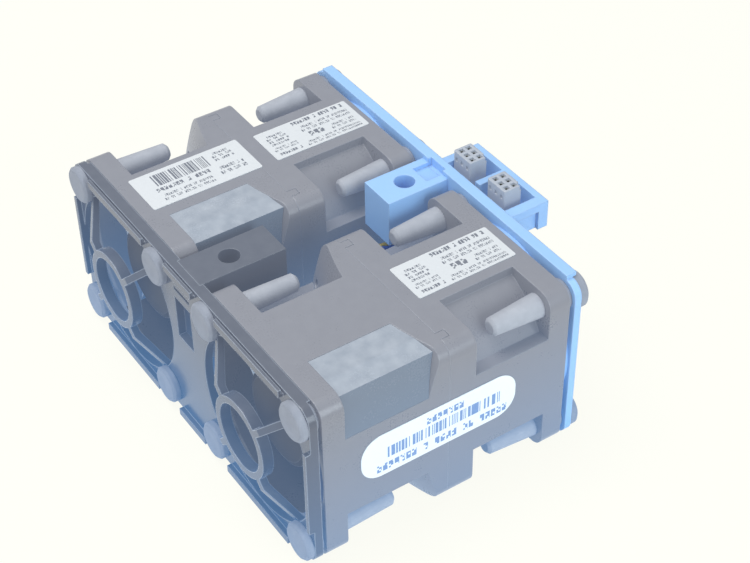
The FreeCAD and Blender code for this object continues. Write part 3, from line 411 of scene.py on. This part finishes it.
def copper_wire():
    """Enamelled wire, with a turn each 0.35 mm along the axis; the phase is in radians a metre."""
    finish = Finish("enamelled copper", Metallic=1.0, Coat_Weight=0.5, Coat_Roughness=0.15)
    turns = finish.axis("Y") * turn_phase
    ridge = finish.node("ShaderNodeMath", {"operation": "SINE"}, {0: turns})
    tone = finish.blend(finish.noise(900), srgb(196, 116, 66), srgb(224, 150, 92))
    bump = finish.node("ShaderNodeBump", {}, {"Strength": 0.8, "Distance": 0.00008,
                                              "Height": ridge})
    finish.feed(Base_Color=tone, Roughness=0.26 + finish.noise(1400) * 0.1, Normal=bump)
    return finish


finishes["rubber"] = rubber("isolator rubber", srgb(120, 126, 138), srgb(148, 152, 160))
finishes["bearing_steel"] = metal("bearing steel", srgb(205, 208, 212), 0.22)
finishes["shaft_steel"] = metal("shaft steel", srgb(198, 200, 205), 0.25, (0.1, 2, 0.1))
finishes["yoke_steel"] = metal("yoke steel", srgb(170, 174, 180), 0.38, (1, 0.1, 1))
finishes["lamination_steel"] = metal("core laminations", srgb(120, 140, 140), 0.45, (0.1, 3, 0.1))
finishes["contact_metal"] = metal("tinned contacts", srgb(226, 226, 218), 0.2)
finishes["copper"] = copper_wire()
finishes["magnet"] = plastic("bonded magnet", srgb(78, 78, 80), 0.65, grain=0.6, edge_wear_and_glint=0.2)
finishes["board"] = plastic("circuit board", srgb(46, 116, 74), 0.35, grain=0.1, coat=0.3)
finishes["lead_insulation"] = plastic("lead insulation", srgb(222, 218, 200), 0.42, grain=0.1)
print(len(finishes), "finishes so far")

# %% [markdown]
# ## Printed labels
#
# Each fan carries paper labels, and one long sticker runs along the right fan's side.
# The print is made in the material: every label's own corner and length turn a point
# into "how far along" and "how far across".  A line of print is a row of small cells,
# each with a few specks set at random where a letter would stand: it looks like print
# from a distance and spells nothing up close.  Bars are cells inked or left blank.
# An image would be quicker to place, but it blurs up close and comes as a file apart.


# %% A label's print
def along(finish, letter, start, length):
    """Position on the label from 0 to 1 along one axis."""
    return (finish.axis(letter) - start) / length


def chance(finish, across, down):
    """A random value from 0 to 1 for each whole cell."""
    spot = finish.node("ShaderNodeCombineXYZ", {}, {"X": across, "Y": down})
    whole = finish.node("ShaderNodeVectorMath", {"operation": "FLOOR"}, {0: spot})
    return finish.node("ShaderNodeTexWhiteNoise", {"noise_dimensions": "2D"},
                       {"Vector": whole}, "Value")


def lettering(finish, run, across, box, lines, letters, bold=0.6):
    """Lines of specks in letter-sized cells inside a box (start, end, low, high).

    A box counts along and across the label from 0 to 1, and bold is the inked share.
    """
    start, end, low, high = box
    inside = run.between(start, end) * across.between(low, high)
    column = (run - start) / (end - start) * letters
    line = (across - low) / (high - low) * lines
    in_letter = column.math("FRACT", column).below(0.78)
    in_line = line.math("FRACT", line).below(0.66)
    word = chance(finish, column, line + 40.0).below(0.86)
    speck = chance(finish, column * 3.0, line * 6.0).below(bold)
    return inside * in_letter * in_line * word * speck


def bars(finish, run, across, box, cells):
    """Bars inside a box, from a number of cells counted over the whole label."""
    start, end, low, high = box
    inside = run.between(start, end) * across.between(low, high)
    return inside * chance(finish, run * cells, 3.0).below(0.52)


def label(name, paper, ink, prints, coat=0.0):
    """Paper or film with ink where any of the print masks is 1."""
    finish = Finish(name, Coat_Weight=coat)
    marks = prints(finish)
    fibre = finish.noise(1500, 3.0)
    base = finish.blend(fibre, shade(paper, 0.96), shade(paper, 1.03))
    tone = finish.blend(marks * (0.82 + fibre * 0.15), base, ink)
    bump = finish.node("ShaderNodeBump", {}, {"Strength": 0.2, "Distance": 0.00002,
                                              "Height": fibre})
    finish.feed(Base_Color=tone, Roughness=0.5 + fibre * 0.12, Normal=bump)
    return finish


print("label tools ready")

# %% The four printed pieces
ink = srgb(92, 98, 112)
blue_ink = srgb(84, 132, 196)


def corner(name):
    """Lowest corner and size of a node's box."""
    low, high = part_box(name)
    return low, [end - start for start, end in zip(low, high)]


def combined(finish, run, across, blocks):
    """All the blocks of lettering of one label as a single mask."""
    marks = None
    for block in blocks:
        mask = lettering(finish, run, across, *block)
        marks = marks.either(mask) if marks else mask
    return marks


def number_print(finish):
    low, size = corner("number_label")
    run = along(finish, "Y", low[1], size[1])
    across = along(finish, "X", low[0], size[0])
    text = combined(finish, run, across, [
        ((0.1, 0.66, 0.5, 0.66), 1, 16, 0.75),
        ((0.14, 0.6, 0.7, 0.92), 2, 26, 0.6),
        ((0.72, 0.9, 0.12, 0.42), 3, 9, 0.6),
        ((0.68, 0.92, 0.56, 0.84), 2, 12, 0.65)])
    return text.either(bars(finish, run, across, (0.16, 0.66, 0.1, 0.44), 165))


def rating_print(node):
    def draw(finish):
        low, size = corner(node)
        run = along(finish, "Y", low[1], size[1])
        across = along(finish, "X", low[0], size[0])
        return combined(finish, run, across, [
            ((0.36, 0.95, 0.05, 0.22), 1, 20, 0.78),
            ((0.42, 0.95, 0.26, 0.5), 2, 28, 0.6),
            ((0.4, 0.62, 0.52, 0.76), 1, 4, 0.68),
            ((0.68, 0.94, 0.55, 0.76), 2, 14, 0.6),
            ((0.36, 0.95, 0.79, 0.97), 2, 32, 0.6),
            ((0.07, 0.28, 0.18, 0.58), 4, 9, 0.66),
            ((0.05, 0.3, 0.62, 0.78), 2, 15, 0.6),
            ((0.04, 0.33, 0.83, 0.96), 1, 11, 0.78)])
    return draw


def sticker_print(finish):
    low, size = corner("side_sticker")
    run = along(finish, "Y", low[1], size[1])
    across = along(finish, "Z", low[2], size[2])
    text = combined(finish, run, across, [
        ((0.06, 0.95, 0.1, 0.36), 1, 24, 0.7),
        ((0.38, 0.66, 0.7, 0.94), 1, 8, 0.7)])
    return text.either(bars(finish, run, across, (0.13, 0.9, 0.38, 0.64), 170))


white_paper = srgb(206, 210, 214)
printed = {
    "number_label": label("number label print", white_paper, ink, number_print),
    "left_rating_label": label("left rating label print", white_paper, ink,
                               rating_print("left_rating_label")),
    "right_rating_label": label("right rating label print", white_paper, ink,
                                rating_print("right_rating_label")),
    "side_sticker": label("side sticker print", srgb(232, 242, 250), blue_ink, sticker_print,
                          coat=0.4),
}
print(len(printed), "printed pieces")

# %% [markdown]
# ## Dressing the solids
#
# Each solid names the slot its finish belongs to, so dressing is a lookup.  The labels
# are exceptions, since each has a print of its own, and so is the front tab, whose edges
# are painted less pale than the plate's: less wear and less painted highlight.

# %% Give every node its finish
slots = {part["node"]: part["material_slot"] for part in frame["record"]["subparts"]}
special = dict(printed, front_tab=plastic("front tab plastic", inlet_grey, 0.3, edge_wear_and_glint=0.05))
for name, piece in nodes.items():
    finish = special.get(name) or finishes[slots[name]]
    for index in range(len(piece.material_slots)):
        piece.material_slots[index].material = finish.material
print("dressed", len(nodes), "nodes")

# %% [markdown]
# ## Outlet rims and fan leads
#
# Two kinds of detail are too thin or too soft for the solids.  A low rim round each
# outlet reaches from the back plate almost to the fan, so no daylight shows between
# them.  And each fan's lead is really four thin insulated wires, laid round each other.
# The rim is four rings of points joined up, which is simpler than cutting one tube out
# of another.  The wires are curves, which keep a round section through every bend.

# %% A rim round each outlet
rim_wall = 0.00016
rim_steps = 128
rim_past_rotor = 0.00078
rim_front = 0.00015
rim_back = 0.0026


def keep(piece):
    """Link a new piece and let it ride with the module."""
    bpy.context.scene.collection.objects.link(piece)
    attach(piece, "module")


def rim(name, centre, radius, front, back):
    """A thin band round the fan's axis, closed on all four sides."""
    shape = bmesh.new()
    turns = [2 * math.pi * step / rim_steps for step in range(rim_steps)]
    inner = radius - rim_wall
    bands = []
    for reach, depth in ((radius, front), (inner, front), (inner, back), (radius, back)):
        bands.append([shape.verts.new((centre[0] + reach * math.cos(turn), depth,
                                       centre[1] + reach * math.sin(turn))) for turn in turns])
    for first, second in zip(bands, bands[1:] + bands[:1]):
        for step in range(rim_steps):
            after = (step + 1) % rim_steps
            shape.faces.new((first[step], first[after], second[after], second[step]))
    bmesh.ops.recalc_face_normals(shape, faces=shape.faces)
    mesh = bpy.data.meshes.new(name)
    shape.to_mesh(mesh)
    shape.free()
    return bpy.data.objects.new(name, mesh)


for side in ("left", "right"):
    low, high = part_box(side + "_outlet_impeller")
    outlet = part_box(side + "_outlet_housing")[1][1]
    opening = (high[0] - low[0]) / 2 + rim_past_rotor
    axis = ((low[0] + high[0]) / 2, (low[2] + high[2]) / 2)
    band = rim(side + "_outlet_rim", axis, opening, outlet + rim_front, outlet + rim_back)
    band.data.materials.append(finishes["blue_plastic"].material)
    keep(band)
print("two outlet rims of", round(rim_wall * 1000, 2), "mm")

# %% Four wires in each lead
# The route's points, in metres, are those that the CAD model's lead follows.
routes = {
    "left": [(-0.0058, 0.044, 0.0242), (-0.0017, 0.044, 0.0242), (-0.0017, 0.0505, 0.0242),
             (-0.0017, 0.0617, 0.0242), (0.00325, 0.0654, 0.0327), (0.00325, 0.0654, 0.0361)],
    "right": [(0.0058, 0.044, 0.0242), (0.0017, 0.044, 0.0242), (0.0017, 0.0505, 0.0242),
              (0.0017, 0.0617, 0.0242), (0.0059, 0.0654, 0.0302), (0.0138, 0.0654, 0.0316),
              (0.01475, 0.0654, 0.0332), (0.01475, 0.0654, 0.0361)],
}
wire_radius = 0.00044
wire_twist = 0.014
wire_slack = 1.02
wire_colours = {"black": srgb(46, 48, 54), "red": srgb(196, 52, 44),
                "yellow": srgb(232, 196, 72), "blue": srgb(64, 104, 190)}
wire_finishes = [plastic(name + " wire insulation", colour, 0.4, grain=0.1, painted_glow=0.3, rounding=0.0001)
                 for name, colour in wire_colours.items()]


def centreline(points):
    """Points along the smooth line that the route's points steer."""
    line = bpy.data.curves.new("route", "CURVE")
    line.dimensions = "3D"
    spline = line.splines.new("NURBS")
    spline.points.add(len(points) - 1)
    for handle, point in zip(spline.points, points):
        handle.co = (*point, 1.0)
    spline.use_endpoint_u = True
    spline.order_u = 3
    spline.resolution_u = 12
    guide = bpy.data.objects.new("route", line)
    mesh = bpy.data.meshes.new_from_object(guide)
    places = [vertex.co.copy() for vertex in mesh.vertices]
    bpy.data.meshes.remove(mesh)
    bpy.data.objects.remove(guide)
    return places


def lead(name, places):
    """Four wires twisted round a centreline, as one piece with a material each.

    A curve's own box reaches one point radius past its points, so the wire's radius is
    given to the points and the bevel only carries it.
    """
    bundle = bpy.data.curves.new(name, "CURVE")
    bundle.dimensions = "3D"
    bundle.bevel_depth = 1.0
    bundle.bevel_resolution = 4
    bundle.use_fill_caps = True
    for finish in wire_finishes:
        bundle.materials.append(finish.material)
    spacing = wire_radius * math.sqrt(2) * wire_slack
    ways = [(after - before).normalized() for before, after in zip(places, places[1:])]
    ways.append(ways[-1])
    for wire in range(len(wire_finishes)):
        spline = bundle.splines.new("POLY")
        spline.points.add(len(places) - 1)
        spline.material_index = wire
        aside = mathutils.Vector((0, 0, 1))
        run = 0.0
        for index, (place, way) in enumerate(zip(places, ways)):
            aside = (aside - way * aside.dot(way)).normalized()
            run += (place - places[index - 1]).length if index else 0.0
            turn = 2 * math.pi * (wire / len(wire_finishes) + run / wire_twist)
            shift = aside * math.cos(turn) + way.cross(aside) * math.sin(turn)
            spline.points[index].co = (*(place + shift * spacing), 1.0)
            spline.points[index].radius = wire_radius
    return bpy.data.objects.new(name, bundle)


for side, points in routes.items():
    bundle = lead(side + "_lead_wires", centreline(points))
    keep(bundle)
    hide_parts(side + "_lead")
print("two leads of", len(wire_finishes), "wires")

# %% [markdown]
# ## Floor, light and camera
#
# The module stands on a white table in a pale room.  A wide lamp overhead gives the top
# faces their brightness, and two weaker ones light the inlets and the right side.  A
# plain white floor would render grey, so this one glows almost white to the camera and
# to reflections, while the lamps still leave a faint shadow on it.

# %% Floor
floor_mesh = bpy.data.meshes.new("table")
floor_mesh.from_pydata([(-2, -2, 0), (2, -2, 0), (2, 2, 0), (-2, 2, 0)], [], [(0, 1, 2, 3)])
table = bpy.data.objects.new("table", floor_mesh)
table.location.z = cad_box[0][2] - 0.0002
bpy.context.scene.collection.objects.link(table)
table_finish = Finish("white table")
table_finish.feed(Base_Color=(0.9, 0.9, 0.88, 1.0), Roughness=0.9)
ray = table_finish.tree.nodes.new("ShaderNodeLightPath")
glow = table_finish.node("ShaderNodeEmission", {}, {"Color": (1.0, 1.0, 0.93, 1.0),
                                                   "Strength": 1.0}, "Emission")
seen = Tap(ray.outputs["Is Camera Ray"]).either(Tap(ray.outputs["Is Glossy Ray"]))
seen = seen.either(Tap(ray.outputs["Is Transmission Ray"]))
surface = table_finish.node("ShaderNodeMixShader", {}, {0: seen * 0.93,
                            1: Tap(table_finish.shader.outputs[0]), 2: glow})
output = table_finish.tree.nodes["Material Output"]
table_finish.tree.links.new(surface.socket, output.inputs["Surface"])
table.data.materials.append(table_finish.material)
print("table at", round(table.location.z * 1000, 2), "mm")

# %% World and lamps
world = bpy.data.worlds.new("soft room")
bpy.context.scene.world = world
world.use_nodes = True
sky = world.node_tree.nodes["Background"]
sky.inputs["Color"].default_value = (0.93, 0.96, 1.0, 1.0)
sky.inputs["Strength"].default_value = 0.45
middle = mathutils.Vector((0, 0.03, 0.02))
warm_white = (1.0, 0.98, 0.95)
cool_white = (0.85, 0.95, 1.0)


def softbox(name, place, width, watts, colour):
    """A square lamp aimed at the middle of the module."""
    lamp = bpy.data.lights.new(name, "AREA")
    lamp.size = width
    lamp.energy = watts
    lamp.color = colour
    piece = bpy.data.objects.new(name, lamp)
    piece.location = place
    gaze = middle - mathutils.Vector(place)
    piece.rotation_euler = gaze.to_track_quat("-Z", "Y").to_euler()
    bpy.context.scene.collection.objects.link(piece)
    return piece


softbox("overhead", (-0.12, -0.1, 0.62), 0.4, 3.0, warm_white)
softbox("front_left", (0.1, -0.6, 0.3), 0.5, 0.9, cool_white)
softbox("right_side", (0.65, 0.1, 0.25), 0.4, 2.6, cool_white)
print("world and three soft lamps")

# %% Camera
camera_data = bpy.data.cameras.new("camera")
camera_data.sensor_width = 36.0
camera_data.lens = 82.3908
camera_data.clip_start = 0.01
camera = bpy.data.objects.new("camera", camera_data)
look = mathutils.Vector((-0.63129, 0.41647, -0.65423))
right = mathutils.Vector((0.55899, 0.82909, -0.01161))
up = right.cross(look).normalized()
right = look.cross(up).normalized()
turn = mathutils.Matrix((right, up, -look)).transposed().to_4x4()
camera.matrix_world = mathutils.Matrix.Translation((0.22827, -0.10696, 0.25433)) @ turn
bpy.context.scene.collection.objects.link(camera)
bpy.context.scene.camera = camera
bpy.context.scene.view_settings.view_transform = "Standard"
print("camera", [round(value, 3) for value in camera.location])
